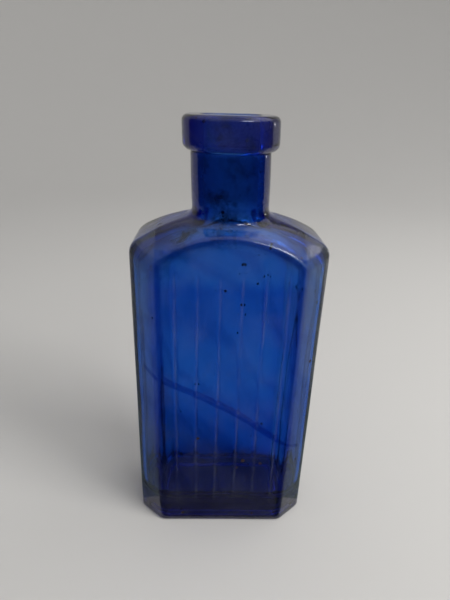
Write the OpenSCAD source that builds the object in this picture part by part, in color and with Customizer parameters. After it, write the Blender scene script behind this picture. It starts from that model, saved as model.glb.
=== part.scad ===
// Antique medicine bottle: a mould-blown flat body with bevelled corners, an
// arched shoulder and a ribbed front, finished by a ring lip laid on the neck.
// Millimetres. +Z is up, the ribbed front faces -Y, and the origin is the centre
// of the foot on the surface that the bottle stands on.

/* [Body] */
// Width of the body across its flat sides
body_width = 57.6; // [50:0.1:70]
// Depth of the body between its front and back panels
body_depth = 31; // [25:0.1:38]
// Height of the crown of the shoulder arch above the foot
crown_height = 108.5; // [90:0.5:132]
// Width of a corner bevel, seen from the front
bevel_width = 8.1; // [4:0.1:10]
// Depth of a corner bevel, seen from the side
bevel_depth = 6.9; // [4:0.1:9]

/* [Shoulder] */
// Radius of the wide arch over the shoulder
crown_radius = 50; // [45:0.5:60]
// Radius that turns the shoulder arch down into the flat sides
shoulder_corner_radius = 5; // [3:0.5:8]
// Radius of the arch that closes the front and back panels at the top
panel_arch_radius = 32.5; // [30:0.5:39]
// Distance from the crown of the shoulder down to the top of a panel's arch
panel_arch_drop = 4.5; // [2:0.1:8]
// Millimetres that the shoulder bevel spreads for each millimetre into the body
shoulder_bevel_slope = 0.75; // [0.7:0.01:1]

/* [Neck] */
// Outer diameter of the neck
neck_diameter = 22.8; // [19:0.1:27]
// Length of neck between the crown of the shoulder and its cut end under the lip
neck_length = 16.1; // [12:0.1:24]
// Diameter of the bore through the neck and the lip, which takes the cork
bore_diameter = 15.5; // [12:0.1:17]

/* [Lip] */
// How far the lip ring stands out from the neck
lip_overhang = 2.1; // [1.2:0.1:4]
// Height of the lip ring above the cut end of the neck
lip_height = 9.4; // [7:0.1:14]
// Radius of the lip's upper outer edge
lip_upper_radius = 1.6; // [0.8:0.1:2]
// Radius of the lip's lower outer edge
lip_lower_radius = 2; // [0.8:0.1:2]
// Radius of the edge where the bore opens at the mouth
mouth_edge_radius = 0.8; // [0.4:0.1:1.2]

/* [Glass] */
// Wall thickness of the body
wall = 3.2; // [2.2:0.1:4]
// Thickness of glass from the surface under the bottle to the inside floor
base_thickness = 5.2; // [4:0.1:8]
// Radius of the upright corners inside the body
inner_corner_radius = 9.5; // [7:0.1:10]
// Depth of the hollow under the base
foot_hollow_depth = 1.2; // [0.5:0.1:2]
// Width of the foot that is left round the hollow
foot_width = 4.5; // [3:0.1:6]

/* [Ribs] */
// Number of upright ribs on the front panel
rib_count = 6; // [2:1:6]
// Distance between neighbouring ribs
rib_pitch = 6.4; // [4:0.1:7]
// Distance of the row of ribs from the middle of the panel, towards +X
rib_shift = 0.6; // [-1:0.1:1]
// Width of a rib where it leaves the panel
rib_width = 1.2; // [0.8:0.1:2]
// Height of a rib above the panel
rib_height = 0.35; // [0.2:0.05:0.6]
// Height above the foot where the ribs start
rib_bottom = 8; // [4:0.5:20]
// Gap between the top of the outermost rib and the panel's arch
rib_top_gap = 5.5; // [3:0.5:12]

/* [Hidden] */

$fn = 96;
glass_colour = "#1b3fa6";
overlap = 1; // how far a cutting shape runs past the face it cuts

arch_centre = crown_height - crown_radius;
panel_arch_centre = crown_height - panel_arch_drop - panel_arch_radius;
neck_end = crown_height + neck_length;
overall_height = neck_end + lip_height;
lip_radius = neck_diameter / 2 + lip_overhang;

// radial shift that moves the shoulder bevel inwards by one wall thickness
bevel_wall_shift = wall * sqrt(1 + pow(shoulder_bevel_slope, 2));

// a bar of circular section that leaves the panel with the rib's width and height
rib_radius = (pow(rib_width / 2, 2) + pow(rib_height, 2)) / (2 * rib_height);
rib_reach = (rib_count - 1) / 2 * rib_pitch + abs(rib_shift);
rib_top = panel_arch_centre + sqrt(pow(panel_arch_radius, 2) - pow(rib_reach, 2)) - rib_top_gap;

// Front view of a tombstone shape: straight sides, round corners, wide arch
module arched_outline(width, top, arch_radius, corner_radius) {
    centre = top - arch_radius;
    corner_x = width / 2 - corner_radius;
    corner_rise = sqrt(pow(arch_radius - corner_radius, 2) - pow(corner_x, 2));
    translate([-width / 2, 0]) square([width, centre + corner_rise]);
    for (side = [-1, 1])
        translate([side * corner_x, centre + corner_rise]) circle(corner_radius);
    // the arch lies between the two lines on which it turns into the corners
    intersection() {
        translate([0, centre]) circle(arch_radius);
        translate([0, centre])
            polygon([[0, 0], 2 * [corner_x, corner_rise], 2 * [-corner_x, corner_rise]]);
    }
}

// Front view of an arch on straight sides, with no rounding where they meet
module plain_arch_outline(width, top, arch_radius) {
    centre = top - arch_radius;
    translate([-width / 2, 0]) square([width, centre]);
    intersection() {
        translate([0, centre]) circle(arch_radius);
        translate([-width / 2, centre - overlap]) square([width, arch_radius + 2 * overlap]);
    }
}

// Stands a front view up and gives it depth on both sides of the middle plane
module upright(depth) {
    rotate([90, 0, 0]) linear_extrude(depth, center = true) children();
}

// Space between the bevels of the front and back arches: two cones back to back,
// and everything below the arches. inset moves the bevels inwards.
module between_shoulder_bevels(inset) {
    reach = body_depth / 2 + overlap;
    middle_radius = panel_arch_radius + shoulder_bevel_slope * body_depth / 2 - inset;
    face_radius = middle_radius - shoulder_bevel_slope * reach;
    translate([0, 0, panel_arch_centre])
        for (turn = [90, -90])
            rotate([turn, 0, 0]) cylinder(h = reach, r1 = middle_radius, r2 = face_radius);
    lower_size = [body_width + 2 * overlap, 2 * reach, panel_arch_centre + overlap];
    translate([-lower_size.x / 2, -reach, -overlap]) cube(lower_size);
}

// Plan of the body seen from above, cut only by the four corner bevels
module bevelled_plan() {
    // each bevel runs on past the flat side, so that only the outline cuts there
    run = bevel_width + overlap;
    fall = run * bevel_depth / bevel_width;
    x = body_width / 2 - bevel_width;
    y = body_depth / 2;
    polygon([
        [x, y], [x + run, y - fall], [x + run, fall - y], [x, -y],
        [-x, -y], [-x - run, fall - y], [-x - run, y - fall], [-x, y]
    ]);
}

module rounded_plan(width, depth, radius) {
    square([width - 2 * radius, depth], center = true);
    square([width, depth - 2 * radius], center = true);
    for (sx = [-1, 1], sy = [-1, 1])
        translate([sx * (width / 2 - radius), sy * (depth / 2 - radius)]) circle(radius);
}

module outer_form() {
    intersection() {
        upright(body_depth)
            arched_outline(body_width, crown_height, crown_radius, shoulder_corner_radius);
        translate([0, 0, -overlap]) linear_extrude(crown_height + 2 * overlap) bevelled_plan();
        between_shoulder_bevels(0);
    }
}

// Inside of the body. Its sides come from the plan and its roof from the front view.
module cavity() {
    width = body_width - 2 * wall;
    depth = body_depth - 2 * wall;
    intersection() {
        upright(depth + 2 * overlap)
            plain_arch_outline(width + 2 * overlap, crown_height - wall, crown_radius - wall);
        translate([0, 0, base_thickness])
            linear_extrude(crown_height) rounded_plan(width, depth, inner_corner_radius);
        between_shoulder_bevels(bevel_wall_shift);
    }
}

module ribs() {
    for (i = [0 : rib_count - 1])
        translate([
            rib_shift + (i - (rib_count - 1) / 2) * rib_pitch,
            -body_depth / 2 - rib_height + rib_radius,
            rib_bottom
        ])
            cylinder(h = rib_top - rib_bottom, r = rib_radius);
}

// Shallow hollow under the base, with a foot of even width left round it
module foot_hollow() {
    width = body_width - 2 * foot_width;
    depth = body_depth - 2 * foot_width;
    radius = min(bevel_width, depth / 2 - overlap);
    translate([0, 0, -overlap])
        linear_extrude(foot_hollow_depth + overlap) rounded_plan(width, depth, radius);
}

// Bottle blown in one gather: base, panels, shoulder and neck
module blown_body() {
    color(glass_colour, 0.6)
    difference() {
        union() {
            outer_form();
            ribs();
            translate([0, 0, panel_arch_centre])
                cylinder(h = neck_end - panel_arch_centre, d = neck_diameter);
        }
        cavity();
        foot_hollow();
        translate([0, 0, crown_height - 3 * wall])
            cylinder(h = overall_height, d = bore_diameter);
    }
}

// Half section of the lip: a collar with round outer edges and a round mouth
module lip_section() {
    bore_radius = bore_diameter / 2;
    difference() {
        union() {
            square([lip_radius - lip_lower_radius, lip_height]);
            translate([0, lip_lower_radius])
                square([lip_radius, lip_height - lip_lower_radius - lip_upper_radius]);
            translate([0, lip_lower_radius])
                square([lip_radius - lip_upper_radius, lip_height - lip_lower_radius]);
            translate([lip_radius - lip_lower_radius, lip_lower_radius])
                circle(lip_lower_radius);
            translate([lip_radius - lip_upper_radius, lip_height - lip_upper_radius])
                circle(lip_upper_radius);
        }
        translate([-overlap, -overlap])
            square([bore_radius + overlap, lip_height + 2 * overlap]);
        // rounding of the mouth's edge
        difference() {
            translate([bore_radius - overlap, lip_height - mouth_edge_radius])
                square([mouth_edge_radius + overlap, mouth_edge_radius + overlap]);
            translate([bore_radius + mouth_edge_radius, lip_height - mouth_edge_radius])
                circle(mouth_edge_radius);
        }
    }
}

// Ring of glass laid on the cut end of the neck and tooled to shape
module applied_lip() {
    color(glass_colour, 0.6)
    translate([0, 0, neck_end])
        rotate_extrude() lip_section();
}

blown_body();
applied_lip();
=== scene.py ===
import math

import bpy
import numpy as np
from mathutils import Matrix, Vector


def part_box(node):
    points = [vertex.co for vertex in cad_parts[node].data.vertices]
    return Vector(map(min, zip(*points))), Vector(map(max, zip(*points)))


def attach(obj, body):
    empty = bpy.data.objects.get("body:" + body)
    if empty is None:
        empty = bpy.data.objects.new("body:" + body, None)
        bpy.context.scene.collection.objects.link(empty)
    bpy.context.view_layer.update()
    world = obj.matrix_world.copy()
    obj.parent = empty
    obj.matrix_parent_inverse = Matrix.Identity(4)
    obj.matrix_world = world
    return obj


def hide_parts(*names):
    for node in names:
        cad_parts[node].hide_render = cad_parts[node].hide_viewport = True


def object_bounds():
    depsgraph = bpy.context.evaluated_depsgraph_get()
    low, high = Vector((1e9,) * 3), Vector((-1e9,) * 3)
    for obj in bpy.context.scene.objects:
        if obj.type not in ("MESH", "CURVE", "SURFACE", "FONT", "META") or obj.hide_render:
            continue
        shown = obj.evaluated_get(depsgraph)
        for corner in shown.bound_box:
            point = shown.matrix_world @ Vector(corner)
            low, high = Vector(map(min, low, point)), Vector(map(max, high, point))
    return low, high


bl_info = {
    "name": "Cobalt Medicine Bottle",
    "version": (1, 0, 0),
    "blender": (4, 5, 0),
    "location": "3D View > Sidebar > Bottle",
    "description": "Makes a mould-blown cobalt bottle with a ribbed front and a laid-on lip",
    "category": "Add Mesh",
}

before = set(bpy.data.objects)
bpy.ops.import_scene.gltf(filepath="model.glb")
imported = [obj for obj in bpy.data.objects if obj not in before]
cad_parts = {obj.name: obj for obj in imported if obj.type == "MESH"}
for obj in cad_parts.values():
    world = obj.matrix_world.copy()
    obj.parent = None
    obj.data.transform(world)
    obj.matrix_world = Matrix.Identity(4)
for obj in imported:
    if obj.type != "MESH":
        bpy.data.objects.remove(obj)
CAD_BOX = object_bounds()
BODY_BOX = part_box("blown_body")
LIP_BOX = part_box("applied_lip")

MM = 0.001
JOINT_GAP = 0.012  # mm left on each side of the joint, so that the two pieces never share a face

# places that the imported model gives, in millimetres
NECK_END = LIP_BOX[0].z / MM
TOP = LIP_BOX[1].z / MM
LIP_RADIUS = (LIP_BOX[1].x - LIP_BOX[0].x) / 2 / MM
HALF_WIDTH = (BODY_BOX[1].x - BODY_BOX[0].x) / 2 / MM
HALF_DEPTH = BODY_BOX[1].y / MM


# ---------------------------------------------------------------- colours and nodes

def linear(hex_code, alpha=None):
    """An sRGB hex colour as the linear values that Blender's shaders take."""
    parts = [int(hex_code.lstrip("#")[i:i + 2], 16) / 255 for i in (0, 2, 4)]
    light = [p / 12.92 if p <= 0.04045 else ((p + 0.055) / 1.055) ** 2.4 for p in parts]
    return light if alpha is None else (*light, alpha)


def node(tree, kind, values=None, links=None, **settings):
    """Adds a shader node, sets its options and input values, and links its inputs."""
    made = tree.nodes.new(kind)
    for name, value in settings.items():
        setattr(made, name, value)
    for socket, value in (values or {}).items():
        made.inputs[socket].default_value = value
    for socket, source in (links or {}).items():
        tree.links.new(source, made.inputs[socket])
    return made


def empty_material(name):
    material = bpy.data.materials.new(name)
    material.use_nodes = True
    material.node_tree.nodes.clear()
    return material


# ---------------------------------------------------------------- settings

class BottleSizes(bpy.types.PropertyGroup):
    wall: bpy.props.FloatProperty(
        name="Wall", description="Thickness of the glass, in millimetres", default=3.2, min=2, max=4)
    bevel_wall: bpy.props.FloatProperty(
        name="Bevel wall", description="Glass behind the corner bevels, in millimetres", default=3.1)
    side_wall: bpy.props.FloatProperty(
        name="Side wall", description="Glass at the narrow sides, in millimetres", default=2.3)
    crown: bpy.props.FloatProperty(
        name="Crown", description="Height of the shoulder's crown, in millimetres", default=108.5)
    crown_radius: bpy.props.FloatProperty(
        name="Crown radius", description="Radius of the shoulder's wide arch, in millimetres", default=50)
    panel_radius: bpy.props.FloatProperty(
        name="Panel arch", description="Radius of the arch on the panels, in millimetres", default=32.5)
    panel_drop: bpy.props.FloatProperty(
        name="Panel drop", description="From the crown down to a panel's arch, in millimetres", default=4.5)
    bevel_width: bpy.props.FloatProperty(
        name="Bevel width", description="Corner bevel seen from the front, in millimetres", default=8.1)
    bevel_depth: bpy.props.FloatProperty(
        name="Bevel depth", description="Corner bevel seen from the side, in millimetres", default=6.9)
    neck_radius: bpy.props.FloatProperty(
        name="Neck radius", description="Outer radius of the neck, in millimetres", default=11.4)
    bore_radius: bpy.props.FloatProperty(
        name="Bore radius", description="Radius of the bore, in millimetres", default=7.75)
    floor: bpy.props.FloatProperty(
        name="Base glass", description="Height of the inside floor, in millimetres", default=5.2)
    lean: bpy.props.FloatProperty(
        name="Lean", description="Sideways lean of the hand-made neck, in millimetres", default=0.7)
    waviness: bpy.props.FloatProperty(
        name="Waviness", description="Unevenness of the blown glass, in millimetres", default=0.12)


class BottleColours(bpy.types.PropertyGroup):
    glass: bpy.props.FloatVectorProperty(
        name="Glass", description="What a layer of the glass lets through", subtype="COLOR",
        size=3, default=linear("#5BC3F1"), min=0, max=1)
    density: bpy.props.FloatProperty(
        name="Depth of colour", description="How strongly the glass absorbs, per metre",
        default=700, min=0)
    paper: bpy.props.FloatVectorProperty(
        name="Paper", description="Colour of the sheet under and behind the bottle",
        subtype="COLOR", size=3, default=linear("#CBCAC8"), min=0, max=1)


# ---------------------------------------------------------------- form of the glass
# Every surface is the zero of a function that is negative inside the form. All
# lengths in this part are millimetres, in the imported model's frame.

def smooth_max(a, b, k):
    """The larger of two functions, with the crease where they meet rounded off."""
    mix = np.clip(0.5 + 0.5 * (a - b) / k, 0, 1)
    return b + (a - b) * mix + k * mix * (1 - mix)


def smooth_min(a, b, k):
    return -smooth_max(-a, -b, k)


def ripple(x, y, z, seed):
    """Slow unevenness from -1 to 1, such as glass takes as it cools against a mould."""
    rng = np.random.default_rng(seed)
    total = 0
    for length, share in ((46, 0.42), (27, 0.3), (17, 0.18), (11, 0.1)):
        way = rng.normal(size=3)
        way = way / np.linalg.norm(way) * 2 * math.pi / length
        total = total + share * np.sin(way[0] * x + way[1] * y + way[2] * z + rng.uniform(0, 6.28))
    return total


def neck_centre(z, lean, start):
    return -lean * np.clip((z - start) / (TOP - start), 0, 1)


NECK_ROOT = 14  # from the crown down to where the neck's form starts, hidden in the body
HEEL = 3.5  # height and inset of the point that the outer heel's rays swing about
INNER_HEEL = 13  # height of the point that the inner heel's rays swing about
FOOT_RIM = 4.5  # width of the flat foot round the hollow
HOLLOW_DEPTH = 1.2
HOLLOW_BLEND = 2.2  # over which the foot falls away into the hollow
UNDER = 12  # height from which rays look down for the base

RIB_PITCH = 6.4
RIB_SHIFT = 0.6
RIB_COUNT = 6
RIB_HEIGHT = 0.33
RIB_HALF_WIDTH = 0.62
RIB_BOTTOM = 8
RIB_TOP = 94
RIB_PLACES = [RIB_SHIFT + (i - (RIB_COUNT - 1) / 2) * RIB_PITCH for i in range(RIB_COUNT)]


def rib_rise(x, z):
    """How far the ribs stand out of the front panel."""
    rise = np.zeros_like(x)
    for i, place in enumerate(RIB_PLACES):
        wander = 0.12 * np.sin(z / 17 + 2.1 * i)
        across = np.clip(1 - ((x - place - wander) / RIB_HALF_WIDTH) ** 2, 0, 1)
        rise = rise + RIB_HEIGHT * across ** 1.3 * (0.85 + 0.15 * np.sin(z / 9 + i))
    ends = np.clip((z - RIB_BOTTOM) / 1.5, 0, 1) * np.clip((RIB_TOP - z) / 1.5, 0, 1)
    return rise * ends


class Form:
    """The outside and the inside of the blown body as functions of a point."""

    def __init__(self, sizes):
        self.s = sizes
        self.panel_centre = sizes.crown - sizes.panel_drop - sizes.panel_radius
        self.arch_centre = sizes.crown - sizes.crown_radius
        length = math.hypot(sizes.bevel_width, sizes.bevel_depth)
        self.bevel_way = (sizes.bevel_depth / length, sizes.bevel_width / length)
        self.panel_half = HALF_WIDTH - sizes.bevel_width
        self.side_half = HALF_DEPTH - sizes.bevel_depth
        self.bevel_reach = (self.panel_half * self.bevel_way[0] + HALF_DEPTH * self.bevel_way[1])

    def panel_arch(self, x):
        return self.panel_centre + np.sqrt(np.maximum(self.s.panel_radius ** 2 - x ** 2, 0))

    def cone(self, x, y, z, slope, inset):
        across = np.hypot(x, np.maximum(z - self.panel_centre, 0))
        limit = self.s.panel_radius + slope * (HALF_DEPTH - np.abs(y)) - inset
        return (across - limit) / np.sqrt(1 + slope ** 2)

    def outside(self, x, y, z):
        s = self.s
        wave = s.waviness * (1 + ripple(x, y, z, 4)) / 2
        front = np.abs(y) - HALF_DEPTH + wave - np.where(y < 0, rib_rise(x, z), 0)
        seam = 0.1 * np.exp(-(y / 0.35) ** 2)
        side = np.abs(x) - HALF_WIDTH + wave + 0.1 - seam
        bevel = (np.abs(x) * self.bevel_way[0] + np.abs(y) * self.bevel_way[1]
                 - self.bevel_reach + 0.5 * wave)
        arch = np.hypot(x, np.maximum(z - self.arch_centre, 0)) - s.crown_radius + wave
        # the shoulder bevels grow steeper towards the corners
        slope = 0.44 + 0.57 * np.clip(np.abs(x) / 24, 0, 1.1) ** 3
        cone = self.cone(x, y, z, slope, 0)
        rim = np.maximum(np.abs(x) - HALF_WIDTH + FOOT_RIM, np.abs(y) - HALF_DEPTH + FOOT_RIM)
        rim = np.maximum(rim, bevel + FOOT_RIM)
        share = np.clip(-rim / HOLLOW_BLEND, 0, 1)
        hollow = HOLLOW_DEPTH * share ** 2 * (3 - 2 * share)
        body = smooth_max(front, bevel, 0.9)
        body = smooth_max(body, side, 1.0)
        body = smooth_max(body, arch, 2.2)
        body = smooth_max(body, cone, 1.2)
        body = smooth_max(body, hollow - z, 1.1)
        off = neck_centre(z, s.lean, s.crown)
        bulge = 0.15 * np.sin(np.clip((z - s.crown) / (NECK_END - s.crown), 0, 1) * math.pi)
        radius = s.neck_radius - 0.25 + bulge + 0.1 * ripple(x, y, z, 9)
        neck = np.maximum(np.hypot(x - off, y) - radius, s.crown - NECK_ROOT - z)
        return smooth_min(body, neck, 2.4)

    def inside(self, x, y, z):
        s = self.s
        wave = 0.22 * ripple(x, y, z, 21)
        # behind the bevels the glass thins out a little towards the shoulder
        thin = 0.5 * np.clip((z - 60) / 30, 0, 1)
        bevel = (np.abs(x) * self.bevel_way[0] + np.abs(y) * self.bevel_way[1]
                 - self.bevel_reach + s.bevel_wall - thin)
        # the front wall is thicker in a belt that starts sharply under the shoulder
        belt = np.clip((89.6 - z + 0.02 * x) / 1.4, 0, 1) * np.clip((z - 68) / 20, 0, 1)
        belt = 1.1 * belt * np.clip(-y / 4, 0, 1)
        # and both flat walls thicken towards the foot
        belt = belt + 0.9 * np.clip((60 - z) / 50, 0, 1) ** 1.5
        plan = smooth_max(np.abs(y) - HALF_DEPTH + s.wall + belt, bevel, 3.4)
        plan = smooth_max(plan, np.abs(x) - HALF_WIDTH + s.side_wall, 1.6) + wave
        arch = (np.hypot(x, np.maximum(z - self.arch_centre, 0)) - s.crown_radius + s.wall + wave)
        cone = self.cone(x, y, z, 0.75, s.wall * 1.25) + wave
        rise = 1.2 * np.exp(-(x / 15) ** 2 - (y / 8) ** 2)
        floor = s.floor + rise + 0.5 * ripple(x, y, z * 0, 33) - z
        air = smooth_max(plan, arch, 2.5)
        air = smooth_max(air, cone, 2)
        air = smooth_max(air, floor, 8)
        off = neck_centre(z, s.lean, s.crown)
        bore = np.hypot(x - off, y) - s.bore_radius - 0.12 * ripple(x, y, z, 35)
        bore = np.maximum(bore, s.crown - NECK_ROOT - z)
        return smooth_min(air, bore, 4)


def meet(surface, start, way, reach):
    """Follows rays from inside a form to where they leave it, by halving."""
    low = np.zeros(start.shape[0])
    high = np.full(start.shape[0], float(reach))
    for _ in range(36):
        middle = (low + high) / 2
        p = start + way * middle[:, None]
        out = surface(p[:, 0], p[:, 1], p[:, 2]) > 0
        high = np.where(out, middle, high)
        low = np.where(out, low, middle)
    return start + way * ((low + high) / 2)[:, None]


def unit(v):
    return v / np.linalg.norm(v, axis=1)[:, None]


def plan_points(form):
    """Points round the body's plan, anticlockwise, with more of them across each rib."""
    px, sy = form.panel_half, form.side_half
    fine = np.array([-0.7, -0.45, -0.22, 0, 0.22, 0.45, 0.7])
    front = set()
    for place in RIB_PLACES:
        front.update(np.round(place + fine, 3))
    for place in RIB_PLACES[:-1]:
        front.update(np.round(place + np.array([1.2, 1.9, 2.7, 3.5, 4.3, 5.1]), 3))
    first, last = RIB_PLACES[0] - 0.75, RIB_PLACES[-1] + 0.75
    front.update(np.round(np.linspace(-px, first, 8), 3))
    front.update(np.round(np.linspace(last, px, 8), 3))
    corners = 0.5 - 0.5 * np.cos(np.linspace(0, math.pi, 15))
    even = np.linspace(0, 1, 25)
    points = [(x, -HALF_DEPTH) for x in sorted(front)]
    points += [(px + (HALF_WIDTH - px) * t, -HALF_DEPTH + (HALF_DEPTH - sy) * t) for t in corners[1:]]
    points += [(HALF_WIDTH, -sy + 2 * sy * t) for t in even[1:]]
    points += [(HALF_WIDTH - (HALF_WIDTH - px) * t, sy + (HALF_DEPTH - sy) * t) for t in corners[1:]]
    points += [(px - 2 * px * t, HALF_DEPTH) for t in np.linspace(0, 1, 61)[1:]]
    points += [(-px - (HALF_WIDTH - px) * t, HALF_DEPTH - (HALF_DEPTH - sy) * t) for t in corners[1:]]
    points += [(-HALF_WIDTH, sy - 2 * sy * t) for t in even[1:]]
    points += [(-HALF_WIDTH + (HALF_WIDTH - px) * t, -sy - (HALF_DEPTH - sy) * t)
               for t in corners[1:-1]]
    return np.array(points)


def lift(flat, z):
    """Plan points at a height, or at one height each."""
    return np.column_stack([flat, np.broadcast_to(z, flat.shape[0])])


def fan(surface, start, outward, angles, reach):
    """Rings where rays that swing from level (0 degrees) to upright leave a form."""
    rings = []
    for angle in angles:
        a = math.radians(angle)
        way = np.column_stack([outward * math.cos(a), np.full(len(outward), math.sin(a))])
        rings.append(meet(surface, start, way, reach))
    return rings


def outside_rings(form):
    """The outside from the middle of the base up to the neck's cut end."""
    s = form.s
    q = plan_points(form)
    halves = np.array([HALF_WIDTH, HALF_DEPTH])
    down = np.tile([0, 0, -1.0], (len(q), 1))
    up = -down
    rings = []
    core = q * (1 - 9 / halves)
    for t in (0.12, 0.3, 0.5, 0.7, 0.86):
        rings.append(meet(form.outside, lift(core * t, UNDER), down, 20))
    for inset in (9, 7.8, 6.9, 6.4, 5.9, 5.4, 4.9, 4.4, 3.9):
        rings.append(meet(form.outside, lift(q * (1 - inset / halves), UNDER), down, 20))
    heel = q * (1 - HEEL / halves)
    outward = unit(q - heel)
    rings += fan(form.outside, lift(heel, HEEL), outward, np.linspace(-90, 0, 15), 12)

    around = unit(q)
    neck = around * (s.neck_radius + 1.1)
    gap = np.linalg.norm(q - neck, axis=1)
    share = np.minimum(0.45, 4.5 / gap)
    inner = q + (neck - q) * share[:, None]
    reach = np.linalg.norm(q - inner, axis=1)
    outward = unit(q - inner)
    edge = form.panel_arch(np.minimum(np.abs(q[:, 0]), form.panel_half))
    knee = edge - reach
    level = lift(outward, 0)
    for t in np.linspace(0, 1, 40)[1:]:
        # the rings keep close to the height at which the ribs start, then spread out
        z = HEEL + (knee - HEEL) * t ** 1.15
        rings.append(meet(form.outside, lift(inner, z), level, 12))
    rings += fan(form.outside, lift(inner, knee), outward, np.linspace(0, 90, 20)[1:], 16)
    for t in np.linspace(0, 1, 19)[1:]:
        spot = inner + (neck * 1.02 - inner) * t
        rings.append(meet(form.outside, lift(spot, 88), up, 30))

    heart = np.tile([0, 0, s.crown - 8.5], (len(q), 1))
    last = rings[-1]
    ring_way = np.hypot(last[:, 0], last[:, 1])
    low_angle = np.arctan2(last[:, 2] - heart[:, 2], ring_way)
    high_angle = math.atan2(11, s.neck_radius)
    for t in np.linspace(0, 1, 13)[1:]:
        a = low_angle + (high_angle - low_angle) * t
        way = np.column_stack([around * np.cos(a)[:, None], np.sin(a)])
        rings.append(meet(form.outside, heart, way, 40))
    start_z = rings[-1][:, 2]
    end = NECK_END - JOINT_GAP
    for t in np.linspace(0, 1, 13)[1:]:
        z = start_z + (end - 0.35 - start_z) * t
        axis = np.column_stack([neck_centre(z, s.lean, s.crown), np.zeros(len(q)), z])
        rings.append(meet(form.outside, axis, lift(around, 0), 20))
    return rings, around


def body_rings(form):
    """All rings of the blown body, from under the base, over the neck and down inside."""
    s = form.s
    rings, around = outside_rings(form)
    count = len(around)
    end = NECK_END - JOINT_GAP
    off = np.array([neck_centre(end, s.lean, s.crown), 0])
    outer = np.linalg.norm(rings[-1][:, :2] - off, axis=1)
    for inset, drop in ((0.1, 0.12), (0.25, 0.03), (0.45, 0)):
        rings.append(lift(off + around * (outer - inset)[:, None], end - drop))
    for t in (0.25, 0.5, 0.75):
        r = (outer - 0.45) * (1 - t) + (s.bore_radius + 0.4) * t
        rings.append(lift(off + around * r[:, None], end))
    bore_edge = len(rings)
    for inset, drop in ((0.4, 0), (0.18, 0.03), (0.05, 0.12)):
        rings.append(lift(off + around * (s.bore_radius + inset), end - drop))
    for z in np.linspace(end - 0.5, s.crown + 2.5, 12):
        axis = np.tile([neck_centre(z, s.lean, s.crown), 0, z], (count, 1))
        rings.append(meet(form.inside, axis, lift(around, 0), 20))

    heart = np.tile([0, 0, s.crown - NECK_ROOT], (count, 1))
    last = rings[-1]
    top_angle = np.arctan2(last[:, 2] - heart[:, 2], np.hypot(last[:, 0], last[:, 1]))
    q = plan_points(form)
    soft = q * (1 - (s.wall + 1) / np.array([HALF_WIDTH, HALF_DEPTH]))
    for t in np.linspace(0, 1, 37)[1:]:
        a = top_angle * (1 - t)
        turn = t ** 1.5
        level_way = unit(around * (1 - turn) + unit(soft) * turn)
        way = np.column_stack([level_way * np.cos(a)[:, None], np.sin(a)])
        rings.append(meet(form.inside, heart, way, 60))
    for z in np.linspace(s.crown - NECK_ROOT, INNER_HEEL, 24)[1:]:
        axis = np.tile([0, 0, z], (count, 1))
        rings.append(meet(form.inside, axis, lift(around, 0), 60))
    foot = soft * 0.7
    heel = lift(foot, INNER_HEEL)
    outward = unit(soft - foot)
    for t in np.linspace(0, 1, 14)[1:]:
        a = -t * math.pi / 2
        way = np.column_stack([outward * math.cos(a), np.full(count, math.sin(a))])
        rings.append(meet(form.inside, heel, way, 40))
    down = np.tile([0, 0, -1.0], (count, 1))
    for t in (0.85, 0.7, 0.55, 0.4, 0.25, 0.12):
        rings.append(meet(form.inside, lift(foot * t, 16), down, 20))
    inner = [i >= bore_edge for i in range(len(rings))]
    return rings, inner


def lip_rings(s):
    """Rings of the lip, from the bore's lower edge outwards, up, and back down the bore."""
    count = 144
    a = np.linspace(0, 2 * math.pi, count, endpoint=False)
    low = NECK_END + JOINT_GAP
    bore, out, high = s.bore_radius, LIP_RADIUS, TOP - 0.03
    lower, upper, mouth = 2.0, 1.7, 0.9
    profile = [(bore + 0.05, low + 0.12), (bore + 0.18, low + 0.03), (bore + 0.4, low)]
    for t in (0.3, 0.6, 0.85, 1):
        profile.append((bore + 0.4 + (s.neck_radius - 0.6 - bore - 0.4) * t, low))
    # the underside lifts off the neck's edge in a small cove, then turns up into the side
    profile += [(s.neck_radius - 0.2, low + 0.03), (s.neck_radius + 0.1, low + 0.1)]
    for t in np.linspace(-80, 0, 10):
        b = math.radians(t)
        profile.append((out - lower + lower * math.cos(b), low + lower + 0.1 + lower * math.sin(b)))
    for z in np.linspace(low + lower + 0.1, high - upper, 9)[1:-1]:
        profile.append((out, z))
    for t in np.linspace(0, 90, 10):
        b = math.radians(t)
        profile.append((out - upper + upper * math.cos(b), high - upper + upper * math.sin(b)))
    for t in (0.25, 0.5, 0.75):
        profile.append((out - upper + (bore + mouth - out + upper) * t, high))
    for t in np.linspace(90, 180, 9):
        b = math.radians(t)
        profile.append((bore + mouth + mouth * math.cos(b), high - mouth + mouth * math.sin(b)))
    for z in np.linspace(high - mouth, low + 0.4, 12)[1:]:
        profile.append((bore, z))
    rings = []
    for r, z in profile:
        grow = np.clip((r - bore) / (out - bore), 0, 1)
        height = np.clip((z - low) / (high - low), 0, 1)
        # tooled by hand: not quite round, and the rim dips a little
        wobble = (0.1 * np.sin(2 * a + 0.7) + 0.06 * np.sin(5 * a + 2) - 0.16) * grow
        belly = -0.18 * (2 * height - 1) ** 2 * grow
        dip = (0.1 * np.sin(a + 2.4) + 0.05 * np.sin(3 * a) - 0.16) * height ** 2
        radius = r + wobble + belly * 0.5
        x = neck_centre(z, s.lean, s.crown) + radius * np.cos(a)
        rings.append(np.column_stack([x, radius * np.sin(a), z + dip]))
    return rings


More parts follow.
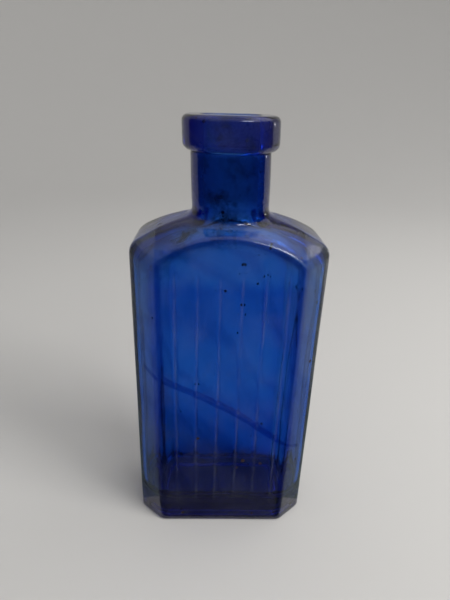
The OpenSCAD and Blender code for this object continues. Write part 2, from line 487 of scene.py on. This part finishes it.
def grid_mesh(name, rings, closed, inner):
    """A mesh over rings of points: either a closed hoop, or capped at both ends.
    inner says for each ring whether it lies inside the bottle."""
    rows = len(rings)
    count = len(rings[0])
    points = np.concatenate(rings) * MM
    index = np.arange(rows * count).reshape(rows, count)
    turned = np.roll(index, -1, axis=1)
    after = np.roll(index, -1, axis=0)
    after_turned = np.roll(turned, -1, axis=0)
    stop = rows if closed else rows - 1
    quads = np.stack([index, turned, after_turned, after], axis=-1)[:stop].reshape(-1, 4)
    faces = quads.tolist()
    vertices = points.tolist()
    if not closed:
        vertices.append((rings[0].mean(axis=0) * MM).tolist())
        vertices.append((rings[-1].mean(axis=0) * MM).tolist())
        low, high = rows * count, rows * count + 1
        faces += [[low, int(b), int(a)] for a, b in zip(index[0], turned[0])]
        faces += [[int(a), int(b), high] for a, b in zip(index[-1], turned[-1])]
    mesh = bpy.data.meshes.new(name)
    mesh.from_pydata(vertices, [], faces)
    mesh.shade_smooth()
    flags = np.repeat(np.asarray(inner, float), count)
    flags = np.append(flags, [flags[0], flags[-1]] if not closed else [])
    layer = mesh.attributes.new("inner", "FLOAT", "POINT")
    layer.data.foreach_set("value", flags.astype(np.float32))
    return mesh


def add_piece(name, mesh, material, *nodes):
    piece = bpy.data.objects.new(name, mesh)
    bpy.context.scene.collection.objects.link(piece)
    mesh.materials.append(material)
    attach(piece, "root")
    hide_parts(*nodes)
    return piece


# ---------------------------------------------------------------- materials

def cobalt_glass(name, colours):
    """Blown cobalt glass: a clear skin worn pale on its crests, with a painted highlight on the right of
    the panel arch and painted shade in a smear inside the left of the shoulder, and a blue that deepens
    with thickness.
    """
    material = empty_material(name)
    tree = material.node_tree
    place = node(tree, "ShaderNodeTexCoord")
    at = node(tree, "ShaderNodeSeparateXYZ", None, {0: place.outputs["Object"]})
    x, y, z = at.outputs
    inner = node(tree, "ShaderNodeAttribute", attribute_name="inner")

    # crests of the ribs, which stand proud of the panel at y = -15.5 mm, rub pale first
    crest = node(tree, "ShaderNodeMapRange",
                 {"From Min": -0.0155, "From Max": -0.01572, "To Min": 0, "To Max": 1},
                 {"Value": y}, interpolation_type="SMOOTHSTEP")
    # the panel's upright edges and its arch, each a line about 0.5 mm wide and worn pale; on the right half
    # of the arch the line is a painted highlight, up to eleven times stronger
    out = node(tree, "ShaderNodeMath", None, {0: x}, operation="ABSOLUTE")
    side = node(tree, "ShaderNodeMath", {1: 0.0207, 2: 0.00025}, {0: out.outputs[0]}, operation="COMPARE")
    low = node(tree, "ShaderNodeMath", {1: 0.096}, {0: z}, operation="LESS_THAN")
    upright = node(tree, "ShaderNodeMath", None,
                   {0: side.outputs[0], 1: low.outputs[0]}, operation="MULTIPLY")
    above = node(tree, "ShaderNodeMath", {1: 0.0715}, {0: z}, operation="SUBTRACT")
    flat = node(tree, "ShaderNodeCombineXYZ", None, {0: x, 1: above.outputs[0]})
    round_arch = node(tree, "ShaderNodeVectorMath", None, {0: flat.outputs[0]}, operation="LENGTH")
    hoop = node(tree, "ShaderNodeMath", {1: 0.0325, 2: 0.0003},
                {0: round_arch.outputs["Value"]}, operation="COMPARE")
    high = node(tree, "ShaderNodeMath", {1: 0.096}, {0: z}, operation="GREATER_THAN")
    arch = node(tree, "ShaderNodeMath", None,
                {0: hoop.outputs[0], 1: high.outputs[0]}, operation="MULTIPLY")
    # painted highlight: the arch's pale line grows up to eleven times stronger over its right half
    right = node(tree, "ShaderNodeMapRange",
                 {"From Min": 0.0, "From Max": 0.008, "To Min": 1, "To Max": 11},
                 {"Value": x}, interpolation_type="SMOOTHSTEP")
    arch_wear_and_highlight = node(tree, "ShaderNodeMath", None,
                     {0: arch.outputs[0], 1: right.outputs[0]}, operation="MULTIPLY")
    edge_lines_and_highlight = node(tree, "ShaderNodeMath", None,
                 {0: upright.outputs[0], 1: arch_wear_and_highlight.outputs[0]}, operation="MAXIMUM")
    front = node(tree, "ShaderNodeMapRange",
                 {"From Min": -0.0146, "From Max": -0.0153, "To Min": 0, "To Max": 0.5},
                 {"Value": y}, interpolation_type="SMOOTHSTEP")
    edge_wear_and_highlight = node(tree, "ShaderNodeMath", None,
                     {0: edge_lines_and_highlight.outputs[0], 1: front.outputs[0]}, operation="MULTIPLY")
    proud_wear_and_highlight = node(tree, "ShaderNodeMath", None,
                 {0: crest.outputs[0], 1: edge_wear_and_highlight.outputs[0]}, operation="MAXIMUM")
    # rubbing comes and goes along a crest in strokes of 5 to 10 mm, and the painted highlight on the arch
    # comes and goes with it
    stretch = node(tree, "ShaderNodeMapping", {"Scale": (1, 1, 0.25)},
                   {"Vector": place.outputs["Object"]})
    strokes = node(tree, "ShaderNodeTexNoise", {"Scale": 520, "Detail": 4, "Roughness": 0.65},
                   {"Vector": stretch.outputs[0]})
    stroke = node(tree, "ShaderNodeMapRange",
                  {"From Min": 0.35, "From Max": 0.7, "To Min": 0.0, "To Max": 0.045},
                  {"Value": strokes.outputs["Fac"]})
    wear_and_highlight = node(tree, "ShaderNodeMath", None,
                {0: proud_wear_and_highlight.outputs[0], 1: stroke.outputs[0]}, operation="MULTIPLY")

    # lime haze from long use, thicker on the shoulder, in clouds about 15 mm across
    cloud = node(tree, "ShaderNodeTexNoise", {"Scale": 70, "Detail": 6, "Roughness": 0.62},
                 {"Vector": place.outputs["Object"]})
    haze_low = node(tree, "ShaderNodeMapRange",
                    {"From Min": 0.45, "From Max": 0.8, "To Min": 0.0, "To Max": 0.022},
                    {"Value": cloud.outputs["Fac"]})
    shoulder = node(tree, "ShaderNodeMapRange",
                    {"From Min": 0.092, "From Max": 0.104, "To Min": 1, "To Max": 2.2},
                    {"Value": z}, interpolation_type="SMOOTHSTEP")
    thinner = node(tree, "ShaderNodeMapRange",
                   {"From Min": 0.1055, "From Max": 0.1095, "To Min": 1, "To Max": 0.3},
                   {"Value": z}, interpolation_type="SMOOTHSTEP")
    top_haze = node(tree, "ShaderNodeMath", None,
                    {0: shoulder.outputs[0], 1: thinner.outputs[0]}, operation="MULTIPLY")
    clouds = node(tree, "ShaderNodeMath", None,
                  {0: haze_low.outputs[0], 1: top_haze.outputs[0]}, operation="MULTIPLY")
    # scuffing from shelves dulls the lowest 34 mm
    scuffed = node(tree, "ShaderNodeMapRange",
                   {"From Min": 0.034, "From Max": 0.014, "To Min": 0, "To Max": 0.013},
                   {"Value": z}, interpolation_type="SMOOTHSTEP")
    # the bevels, which take the knocks, and the lip, which hands touch, are weathered grey
    bevelled = node(tree, "ShaderNodeMapRange",
                    {"From Min": 0.0204, "From Max": 0.0213, "To Min": 0, "To Max": 1},
                    {"Value": out.outputs[0]}, interpolation_type="SMOOTHSTEP")
    lip = node(tree, "ShaderNodeMapRange",
               {"From Min": 0.1235, "From Max": 0.1255, "To Min": 0, "To Max": 0.33},
               {"Value": z})
    weathered = node(tree, "ShaderNodeMath", None,
                     {0: bevelled.outputs[0], 1: lip.outputs[0]}, operation="MAXIMUM")
    patchy = node(tree, "ShaderNodeMapRange",
                  {"From Min": 0.3, "From Max": 0.7, "To Min": 0.012, "To Max": 0.046},
                  {"Value": cloud.outputs["Fac"]})
    upper = node(tree, "ShaderNodeMapRange",
                 {"From Min": 0.05, "From Max": 0.085, "To Min": 0.85, "To Max": 1.5},
                 {"Value": z}, interpolation_type="SMOOTHSTEP")
    patches = node(tree, "ShaderNodeMath", None,
                   {0: patchy.outputs[0], 1: upper.outputs[0]}, operation="MULTIPLY")
    grey = node(tree, "ShaderNodeMath", None,
                {0: weathered.outputs[0], 1: patches.outputs[0]}, operation="MULTIPLY")
    dulled = node(tree, "ShaderNodeMath", None,
                  {0: grey.outputs[0], 1: scuffed.outputs[0]}, operation="MAXIMUM")
    haze = node(tree, "ShaderNodeMath", None,
                {0: clouds.outputs[0], 1: dulled.outputs[0]}, operation="ADD")
    pale = node(tree, "ShaderNodeMath", None,
                {0: wear_and_highlight.outputs[0], 1: haze.outputs[0]}, operation="ADD", use_clamp=True)

    # old contents dried dark in the neck, 3 to 8 mm patches; the dark smear inside the left of the shoulder
    # is painted shade
    stain = node(tree, "ShaderNodeTexNoise", {"Scale": 170, "Detail": 5, "Roughness": 0.7},
                 {"Vector": place.outputs["Object"]})
    stained = node(tree, "ShaderNodeMapRange",
                   {"From Min": 0.5, "From Max": 0.78, "To Min": 0, "To Max": 0.6},
                   {"Value": stain.outputs["Fac"]})
    up = node(tree, "ShaderNodeMapRange",
              {"From Min": 0.097, "From Max": 0.105, "To Min": 0, "To Max": 1},
              {"Value": z}, interpolation_type="SMOOTHSTEP")
    stained_top = node(tree, "ShaderNodeMath", None,
                       {0: stained.outputs[0], 1: up.outputs[0]}, operation="MULTIPLY")
    # painted shade: an olive-black smear on the inside left of the shoulder, by the neck
    shade_smear_distance = node(tree, "ShaderNodeVectorMath", {1: (-0.014, -0.009, 0.105)},
                 {0: place.outputs["Object"]}, operation="DISTANCE")
    painted_shade_patch = node(tree, "ShaderNodeMapRange",
                   {"From Min": 0.012, "From Max": 0.002, "To Min": 0, "To Max": 0.6},
                   {"Value": shade_smear_distance.outputs["Value"]}, interpolation_type="SMOOTHSTEP")
    painted_shade_mottle = node(tree, "ShaderNodeMapRange",
                 {"From Min": 0.3, "From Max": 0.75, "To Min": 0.1, "To Max": 1},
                 {"Value": stain.outputs["Fac"]})
    painted_shade_smear = node(tree, "ShaderNodeMath", None,
                 {0: painted_shade_patch.outputs[0], 1: painted_shade_mottle.outputs[0]}, operation="MULTIPLY")
    residue_and_painted_shade = node(tree, "ShaderNodeMath", None,
                   {0: stained_top.outputs[0], 1: painted_shade_smear.outputs[0]}, operation="MAXIMUM")
    # the real stains and the painted shade are kept to the inside of the glass
    dirt_and_painted_shade = node(tree, "ShaderNodeMath", None,
                {0: residue_and_painted_shade.outputs[0], 1: inner.outputs["Fac"]}, operation="MULTIPLY")

    # specks of rust and soot up to 1.5 mm across with their soft rims, of uneven size
    cells = node(tree, "ShaderNodeTexVoronoi", {"Scale": 150, "Randomness": 1},
                 {"Vector": place.outputs["Object"]})
    chance = node(tree, "ShaderNodeSeparateColor", None, {0: cells.outputs["Color"]})
    far = node(tree, "ShaderNodeMath", None,
               {0: cells.outputs["Distance"], 1: chance.outputs[0]}, operation="DIVIDE")
    dot = node(tree, "ShaderNodeMapRange",
               {"From Min": 0.11, "From Max": 0.07, "To Min": 0, "To Max": 0.85},
               {"Value": far.outputs[0]})

    # a cord of darker glass across the front wall, about 2 mm wide, laid on as a tint
    slant = node(tree, "ShaderNodeMath", {1: 0.62, 2: -0.0472}, {0: x}, operation="MULTIPLY_ADD")
    drift = node(tree, "ShaderNodeTexNoise", {"Scale": 30, "Detail": 1},
                 {"Vector": place.outputs["Object"]})
    bend = node(tree, "ShaderNodeMath", {1: 0.006, 2: -0.003},
                {0: drift.outputs["Fac"]}, operation="MULTIPLY_ADD")
    line = node(tree, "ShaderNodeMath", None, {0: slant.outputs[0], 1: z}, operation="ADD")
    curved = node(tree, "ShaderNodeMath", None, {0: line.outputs[0], 1: bend.outputs[0]}, operation="ADD")
    away = node(tree, "ShaderNodeMath", None, {0: curved.outputs[0]}, operation="ABSOLUTE")
    cord = node(tree, "ShaderNodeMapRange",
                {"From Min": 0.0014, "From Max": 0.0002, "To Min": 0, "To Max": 0.8},
                {"Value": away.outputs[0]}, interpolation_type="SMOOTHSTEP")
    front_wall = node(tree, "ShaderNodeMath", {1: -0.0115}, {0: y}, operation="LESS_THAN")
    cord_front = node(tree, "ShaderNodeMath", None,
                      {0: cord.outputs[0], 1: front_wall.outputs[0]}, operation="MULTIPLY")

    # fainter flow lines over all the glass, 10 to 20 mm apart, also a tint
    flow = node(tree, "ShaderNodeTexWave",
                {"Scale": 22, "Distortion": 7, "Detail": 2, "Detail Scale": 0.8},
                {"Vector": place.outputs["Object"]}, bands_direction="DIAGONAL")
    faint = node(tree, "ShaderNodeMapRange",
                 {"From Min": 0.8, "From Max": 1, "To Min": 0, "To Max": 0.22},
                 {"Value": flow.outputs["Fac"]})
    # a darker tint in a line 2 to 3 mm wide along the panel's edges, as of thicker glass
    off_side = node(tree, "ShaderNodeMath", {1: 0.02}, {0: out.outputs[0]}, operation="SUBTRACT")
    near_side = node(tree, "ShaderNodeMath", None, {0: off_side.outputs[0]}, operation="ABSOLUTE")
    side_line = node(tree, "ShaderNodeMapRange",
                     {"From Min": 0.0015, "From Max": 0.0004, "To Min": 0, "To Max": 0.8},
                     {"Value": near_side.outputs[0]}, interpolation_type="SMOOTHSTEP")
    side_low = node(tree, "ShaderNodeMath", None,
                    {0: side_line.outputs[0], 1: low.outputs[0]}, operation="MULTIPLY")
    off_arch = node(tree, "ShaderNodeMath", {1: 0.0316},
                    {0: round_arch.outputs["Value"]}, operation="SUBTRACT")
    near_arch = node(tree, "ShaderNodeMath", None, {0: off_arch.outputs[0]}, operation="ABSOLUTE")
    arch_line = node(tree, "ShaderNodeMapRange",
                     {"From Min": 0.0013, "From Max": 0.0004, "To Min": 0, "To Max": 0.55},
                     {"Value": near_arch.outputs[0]}, interpolation_type="SMOOTHSTEP")
    arch_high = node(tree, "ShaderNodeMath", None,
                     {0: arch_line.outputs[0], 1: high.outputs[0]}, operation="MULTIPLY")
    thick_line = node(tree, "ShaderNodeMath", None,
                      {0: side_low.outputs[0], 1: arch_high.outputs[0]}, operation="MAXIMUM")
    # the lines come and go over 20 to 40 mm, as the gather ran unevenly into the mould
    uneven = node(tree, "ShaderNodeTexNoise", {"Scale": 35, "Detail": 2},
                  {"Vector": place.outputs["Object"]})
    strong = node(tree, "ShaderNodeMapRange",
                  {"From Min": 0.35, "From Max": 0.6, "To Min": 0.25, "To Max": 1},
                  {"Value": uneven.outputs["Fac"]})
    thick_front = node(tree, "ShaderNodeMath", None,
                       {0: thick_line.outputs[0], 1: front_wall.outputs[0]}, operation="MULTIPLY")
    thickened = node(tree, "ShaderNodeMath", None,
                     {0: thick_front.outputs[0], 1: strong.outputs[0]}, operation="MULTIPLY")
    lines = node(tree, "ShaderNodeMath", None,
                 {0: cord_front.outputs[0], 1: thickened.outputs[0]}, operation="MAXIMUM")
    streaks = node(tree, "ShaderNodeMath", None,
                   {0: lines.outputs[0], 1: faint.outputs[0]}, operation="MAXIMUM")

    tint = node(tree, "ShaderNodeMix",
                {6: (0.95, 0.97, 1, 1), 7: linear("#2C48B8", 1)},
                {0: streaks.outputs[0]}, data_type="RGBA")
    pale_colour = node(tree, "ShaderNodeMath", {1: 6}, {0: pale.outputs[0]},
                       operation="MULTIPLY", use_clamp=True)
    lime = node(tree, "ShaderNodeMix", {6: linear("#7CB0DA", 1), 7: linear("#92B4AC", 1)},
                {0: weathered.outputs[0]}, data_type="RGBA")
    # the pale colour also carries the painted highlight on the right of the arch
    rubbed_and_highlighted = node(tree, "ShaderNodeMix", None,
                  {0: pale_colour.outputs[0], 6: tint.outputs[2], 7: lime.outputs[2]}, data_type="RGBA")
    # a thin grey bloom on the outside of the neck, and less than half as much on the lip
    neck_bloom = node(tree, "ShaderNodeMapRange",
                    {"From Min": 0.1075, "From Max": 0.1105, "To Min": 0, "To Max": 0.95},
                    {"Value": z}, interpolation_type="SMOOTHSTEP")
    lip_share = node(tree, "ShaderNodeMapRange",
                     {"From Min": 0.1235, "From Max": 0.1255, "To Min": 1, "To Max": 0.4},
                     {"Value": z})
    bloom = node(tree, "ShaderNodeMath", None,
                 {0: neck_bloom.outputs[0], 1: lip_share.outputs[0]}, operation="MULTIPLY")
    outer = node(tree, "ShaderNodeMath", {0: 1}, {1: inner.outputs["Fac"]}, operation="SUBTRACT")
    film = node(tree, "ShaderNodeMath", None,
                {0: bloom.outputs[0], 1: outer.outputs[0]}, operation="MULTIPLY")
    filmed = node(tree, "ShaderNodeMix", {7: linear("#8092AF", 1)},
                  {0: film.outputs[0], 6: rubbed_and_highlighted.outputs[2]}, data_type="RGBA")
    # a stain's or the painted shade's colour comes in ahead of its cover, so that its rim isn't pale
    dirt_and_shade_colour = node(tree, "ShaderNodeMath", {1: 2.5}, {0: dirt_and_painted_shade.outputs[0]},
                       operation="MULTIPLY", use_clamp=True)
    dot_colour = node(tree, "ShaderNodeMath", {1: 5}, {0: dot.outputs[0]},
                      operation="MULTIPLY", use_clamp=True)
    dirtied_and_shaded = node(tree, "ShaderNodeMix", {7: linear("#2A2B22", 1)},
                 {0: dirt_and_shade_colour.outputs[0], 6: filmed.outputs[2]}, data_type="RGBA")
    rusty = node(tree, "ShaderNodeMix", {7: linear("#3A2A22", 1)},
                 {0: dot_colour.outputs[0], 6: dirtied_and_shaded.outputs[2]}, data_type="RGBA")
    dirt_and_shade_cover = node(tree, "ShaderNodeMath", {1: 0.8}, {0: dirt_and_painted_shade.outputs[0]}, operation="MULTIPLY")
    specks_dirt_and_shade = node(tree, "ShaderNodeMath", None,
                 {0: dirt_and_shade_cover.outputs[0], 1: dot.outputs[0]}, operation="MAXIMUM")
    hidden = node(tree, "ShaderNodeMath", None,
                  {0: specks_dirt_and_shade.outputs[0], 1: pale.outputs[0]}, operation="MAXIMUM")
    clear = node(tree, "ShaderNodeMath", {0: 1}, {1: hidden.outputs[0]},
                 operation="SUBTRACT", use_clamp=True)
    dull = node(tree, "ShaderNodeMath", {1: 0.9, 2: 0.05}, {0: hidden.outputs[0]},
                operation="MULTIPLY_ADD", use_clamp=True)

    # orange-peel skin of glass chilled against an iron mould, features about 3 mm across
    skin = node(tree, "ShaderNodeTexNoise", {"Scale": 330, "Detail": 2},
                {"Vector": place.outputs["Object"]})
    bump = node(tree, "ShaderNodeBump", {"Strength": 0.35, "Distance": 0.00006},
                {"Height": skin.outputs["Fac"]})
    surface = node(tree, "ShaderNodeBsdfPrincipled", {"IOR": 1.5},
                   {"Base Color": rusty.outputs[2], "Roughness": dull.outputs[0],
                    "Transmission Weight": clear.outputs[0], "Normal": bump.outputs["Normal"]})
    depth = node(tree, "ShaderNodeVolumeAbsorption",
                 {"Color": (*colours.glass, 1), "Density": colours.density})
    node(tree, "ShaderNodeOutputMaterial", None,
         {"Surface": surface.outputs["BSDF"], "Volume": depth.outputs["Volume"]})
    return material


def paper(name, colours):
    """Uncoated backdrop paper: matt, with a faint tooth."""
    material = empty_material(name)
    tree = material.node_tree
    place = node(tree, "ShaderNodeTexCoord")
    fibre = node(tree, "ShaderNodeTexNoise", {"Scale": 900, "Detail": 3},
                 {"Vector": place.outputs["Object"]})
    bump = node(tree, "ShaderNodeBump", {"Strength": 0.08, "Distance": 0.0002},
                {"Height": fibre.outputs["Fac"]})
    surface = node(tree, "ShaderNodeBsdfPrincipled",
                   {"Base Color": (*colours.paper, 1), "Roughness": 0.9, "Specular IOR Level": 0.2},
                   {"Normal": bump.outputs["Normal"]})
    node(tree, "ShaderNodeOutputMaterial", None, {"Surface": surface.outputs["BSDF"]})
    return material


# ---------------------------------------------------------------- operators

class BOTTLE_OT_blow_body(bpy.types.Operator):
    """Make the blown body: base, ribbed panels, shoulder and neck, solid and inside"""
    bl_idname = "bottle.blow_body"
    bl_label = "Blow the Body"

    def execute(self, context):
        form = Form(context.scene.bottle_sizes)
        rings, inner = body_rings(form)
        mesh = grid_mesh("body_glass", rings, False, inner)
        material = cobalt_glass("Blown Cobalt Glass", context.scene.bottle_colours)
        add_piece("body_glass", mesh, material, "blown_body")
        return {"FINISHED"}


class BOTTLE_OT_lay_lip(bpy.types.Operator):
    """Make the lip: a ring of glass laid on the neck and tooled round"""
    bl_idname = "bottle.lay_lip"
    bl_label = "Lay On the Lip"

    def execute(self, context):
        s = context.scene.bottle_sizes
        rings = lip_rings(s)
        # rings within half a millimetre of the bore count as the inside
        inner = [np.hypot(ring[:, 0] - ring[:, 0].mean(), ring[:, 1]).mean() < s.bore_radius + 0.5
                 for ring in rings]
        mesh = grid_mesh("lip_glass", rings, True, inner)
        material = cobalt_glass("Tooled Cobalt Glass", context.scene.bottle_colours)
        add_piece("lip_glass", mesh, material, "applied_lip")
        return {"FINISHED"}


class BOTTLE_OT_set_stage(bpy.types.Operator):
    """Lay the backdrop paper and place the lights and the camera"""
    bl_idname = "bottle.set_stage"
    bl_label = "Set the Stage"

    def execute(self, context):
        scene = context.scene
        lay_paper(scene)
        lay_flag(scene)
        hang_lights(scene)
        place_camera(scene)
        return {"FINISHED"}


def lay_paper(scene):
    """A round sweep of paper, flat under the bottle and rising far behind it on all sides."""
    flat, bend, height, count = 0.55, 0.7, 1.4, 96
    profile = [(r, 0.0) for r in (0.04, 0.12, 0.25, 0.4, flat)]
    for t in np.linspace(0, 90, 15)[1:]:
        b = math.radians(t)
        profile.append((flat + bend * math.sin(b), bend - bend * math.cos(b)))
    profile.append((flat + bend, height))
    a = np.linspace(0, 2 * math.pi, count, endpoint=False)
    vertices = [(0, 0, 0)]
    for r, z in profile:
        vertices += [(r * math.cos(t), r * math.sin(t), z) for t in a]
    faces = [(0, 1 + i, 1 + (i + 1) % count) for i in range(count)]
    for j in range(len(profile) - 1):
        lower, upper = 1 + j * count, 1 + (j + 1) * count
        for i in range(count):
            k = (i + 1) % count
            faces.append((lower + i, upper + i, upper + k, lower + k))
    mesh = bpy.data.meshes.new("paper_sweep")
    mesh.from_pydata(vertices, [], faces)
    mesh.shade_smooth()
    sweep = bpy.data.objects.new("paper_sweep", mesh)
    sweep.location.z = CAD_BOX[0].z - 0.00002
    mesh.materials.append(paper("Backdrop Paper", scene.bottle_colours))
    scene.collection.objects.link(sweep)


def lay_flag(scene):
    """Flags round the front, seen only in reflections: black ahead, and grey beside the foot."""
    # all of it stays over the flat part of the paper, whose sweep would rise through it
    half, near, far, back = 0.37, -0.0165, -0.37, 0.12
    high, top = 0.0005, 0.3
    beside, past = 0.031, 0.04
    corners = [(-half, far, high), (half, far, high), (half, near, high), (-half, near, high),
               (-half, far, top), (half, far, top), (-half, back, high), (-half, back, top),
               (half, back, high), (half, back, top),
               (beside, near, high), (half, past, high), (beside, past, high),
               (-beside, near, high), (-half, past, high), (-beside, past, high)]
    mesh = bpy.data.meshes.new("reflection_flag")
    black = [(0, 1, 2, 3), (0, 4, 5, 1), (0, 6, 7, 4), (1, 5, 9, 8)]
    grey = [(10, 2, 11, 12), (3, 13, 15, 14)]
    mesh.from_pydata(corners, [], black + grey)
    for name, colour in (("Black Flag Cloth", "#1E1F22"), ("Grey Flag Cloth", "#7B8B83")):
        material = empty_material(name)
        tree = material.node_tree
        cloth = node(tree, "ShaderNodeBsdfDiffuse", {"Color": linear(colour, 1)})
        node(tree, "ShaderNodeOutputMaterial", None, {"Surface": cloth.outputs["BSDF"]})
        mesh.materials.append(material)
    for polygon in list(mesh.polygons)[len(black):]:
        polygon.material_index = 1
    flag = bpy.data.objects.new("reflection_flag", mesh)
    flag.visible_camera = False
    flag.visible_diffuse = False
    flag.visible_transmission = False
    flag.visible_shadow = False
    scene.collection.objects.link(flag)


def hang_light(scene, name, way, distance, size, power, colour):
    """An area light that looks at the bottle from a direction."""
    light = bpy.data.lights.new(name, "AREA")
    light.shape = "DISK"
    light.size = size
    light.energy = power
    light.color = linear(colour)
    lamp = bpy.data.objects.new(name, light)
    back = Vector(way).normalized()
    lamp.location = back * distance + Vector((0, 0, 0.06))
    lamp.rotation_mode = "QUATERNION"
    lamp.rotation_quaternion = back.to_track_quat("Z", "Y")
    scene.collection.objects.link(lamp)
    return lamp


def hang_lights(scene):
    key = hang_light(scene, "key_light", (0.68, -0.36, 0.62), 0.8, 0.36, 3.4, "#FFFDFA")
    # the key only models the form; a narrow strip gives the thin lines of light on the edges
    key.visible_glossy = False
    strip = hang_light(scene, "strip_light", (0.5, -0.6, 0.62), 0.9, 0.5, 1.7, "#FFFFFF")
    strip.data.shape = "RECTANGLE"
    strip.data.size_y = 0.11
    hang_light(scene, "soft_box", (0.62, 0.14, 0.78), 0.7, 0.6, 0.8, "#FFFDFA")
    hang_light(scene, "window_light", (0.9, 0.43, 0.12), 0.95, 0.1, 0.12, "#FFFFFF")
    world = bpy.data.worlds.new("Soft Room")
    world.use_nodes = True
    tree = world.node_tree
    tree.nodes.clear()
    sky = node(tree, "ShaderNodeBackground", {"Color": linear("#EDEDEE", 1), "Strength": 0.74})
    node(tree, "ShaderNodeOutputWorld", None, {"Surface": sky.outputs["Background"]})
    scene.world = world
    scene.view_settings.view_transform = "Standard"
    # light passes many glass surfaces before it leaves a thick-walled bottle
    scene.cycles.max_bounces = 24
    scene.cycles.transmission_bounces = 20
    scene.cycles.glossy_bounces = 8


def place_camera(scene):
    """A handheld camera a little above the mouth, looking down at the bottle."""
    yaw, pitch, roll = (math.radians(v) for v in (2.06, 24.26, 2.01))
    ahead = Vector((math.sin(yaw) * math.cos(pitch), math.cos(yaw) * math.cos(pitch), -math.sin(pitch)))
    right = Vector((math.cos(yaw), -math.sin(yaw), 0))
    up = right.cross(ahead)
    across = math.cos(roll) * right + math.sin(roll) * up
    upward = -math.sin(roll) * right + math.cos(roll) * up
    data = bpy.data.cameras.new("camera")
    data.lens = 27.34
    data.sensor_width = 36
    data.clip_start = 0.005
    data.clip_end = 20
    camera = bpy.data.objects.new("camera", data)
    turn = Matrix((across, upward, -ahead)).transposed().to_4x4()
    stand = Vector((-5.36, -131.45, 138.55)) * MM
    camera.matrix_world = Matrix.Translation(stand) @ turn
    scene.collection.objects.link(camera)
    scene.camera = camera


class BOTTLE_PT_make(bpy.types.Panel):
    """Lists the bottle's sizes, colours and the steps that make it"""
    bl_idname = "BOTTLE_PT_make"
    bl_label = "Cobalt Bottle"
    bl_space_type = "VIEW_3D"
    bl_region_type = "UI"
    bl_category = "Bottle"

    def draw(self, context):
        column = self.layout.column()
        for group in (context.scene.bottle_sizes, context.scene.bottle_colours):
            for name in group.__annotations__:
                column.prop(group, name)
        for step in STEPS:
            column.operator(step.bl_idname)


STEPS = (BOTTLE_OT_blow_body, BOTTLE_OT_lay_lip, BOTTLE_OT_set_stage)
CLASSES = (BottleSizes, BottleColours, *STEPS, BOTTLE_PT_make)


def register():
    for cls in CLASSES:
        bpy.utils.register_class(cls)
    bpy.types.Scene.bottle_sizes = bpy.props.PointerProperty(type=BottleSizes)
    bpy.types.Scene.bottle_colours = bpy.props.PointerProperty(type=BottleColours)


def unregister():
    del bpy.types.Scene.bottle_colours
    del bpy.types.Scene.bottle_sizes
    for cls in reversed(CLASSES):
        bpy.utils.unregister_class(cls)


def main():
    register()
    bpy.ops.bottle.blow_body()
    bpy.ops.bottle.lay_lip()
    bpy.ops.bottle.set_stage()


if __name__ == "__main__":
    main()
